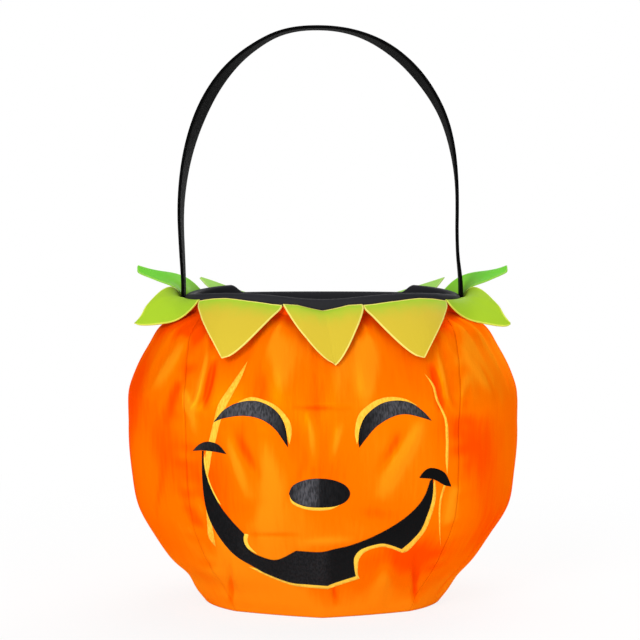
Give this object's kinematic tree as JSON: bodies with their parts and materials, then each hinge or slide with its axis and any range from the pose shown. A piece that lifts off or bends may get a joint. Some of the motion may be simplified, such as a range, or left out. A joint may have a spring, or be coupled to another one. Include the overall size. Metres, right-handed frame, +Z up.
{
  "type": "pumpkin candy bag",
  "caption": "Sewn satin candy bag shaped like a pumpkin, with a printed smiling face, a leaf collar, a black lining and a carrying strap.",
  "frame": {"origin": "middle of the base underside", "axes": "+Z up, the face side towards -Y, +X to the right as seen from the face side"},
  "size_m": [0.2406, 0.1924, 0.3548],
  "materials": {
    "orange_satin": "satin woven polyester, soft sheen",
    "black_lining": "matt woven lining",
    "leaf_fabric": "printed satin, green running into yellow",
    "rim_binding": "folded satin binding",
    "webbing": "folded and stitched strap fabric",
    "rim_boning": "flexible plastic strip",
    "base_board": "stiff bag board"
  },
  "bodies": {
    "bag": {"front_panel": "orange_satin", "right_side_panel": "orange_satin", "back_panel": "orange_satin", "left_side_panel": "orange_satin", "base_panel": "orange_satin", "lining_front": "black_lining", "lining_right_side": "black_lining", "lining_back": "black_lining", "lining_left_side": "black_lining", "lining_base": "black_lining", "base_board": "base_board", "rim_binding": "rim_binding", "rim_stiffener": "rim_boning", "strap_end_left": "webbing", "strap_end_right": "webbing", "leaf_front_centre": "leaf_fabric", "leaf_front_right": "leaf_fabric", "leaf_side_right": "leaf_fabric", "leaf_back_side_right": "leaf_fabric", "leaf_back_right": "leaf_fabric", "leaf_back_centre": "leaf_fabric", "leaf_back_left": "leaf_fabric", "leaf_back_side_left": "leaf_fabric", "leaf_side_left": "leaf_fabric", "leaf_front_left": "leaf_fabric"},
    "handle": {"handle_strap": "webbing"}
  },
  "joints": [
    {"name": "handle_swing", "type": "hinge", "parent": "bag", "child": "handle", "pos_m": [0, 0, 0.2004], "axis": [1, 0, 0], "range_deg": [-80, 80]}
  ]
}
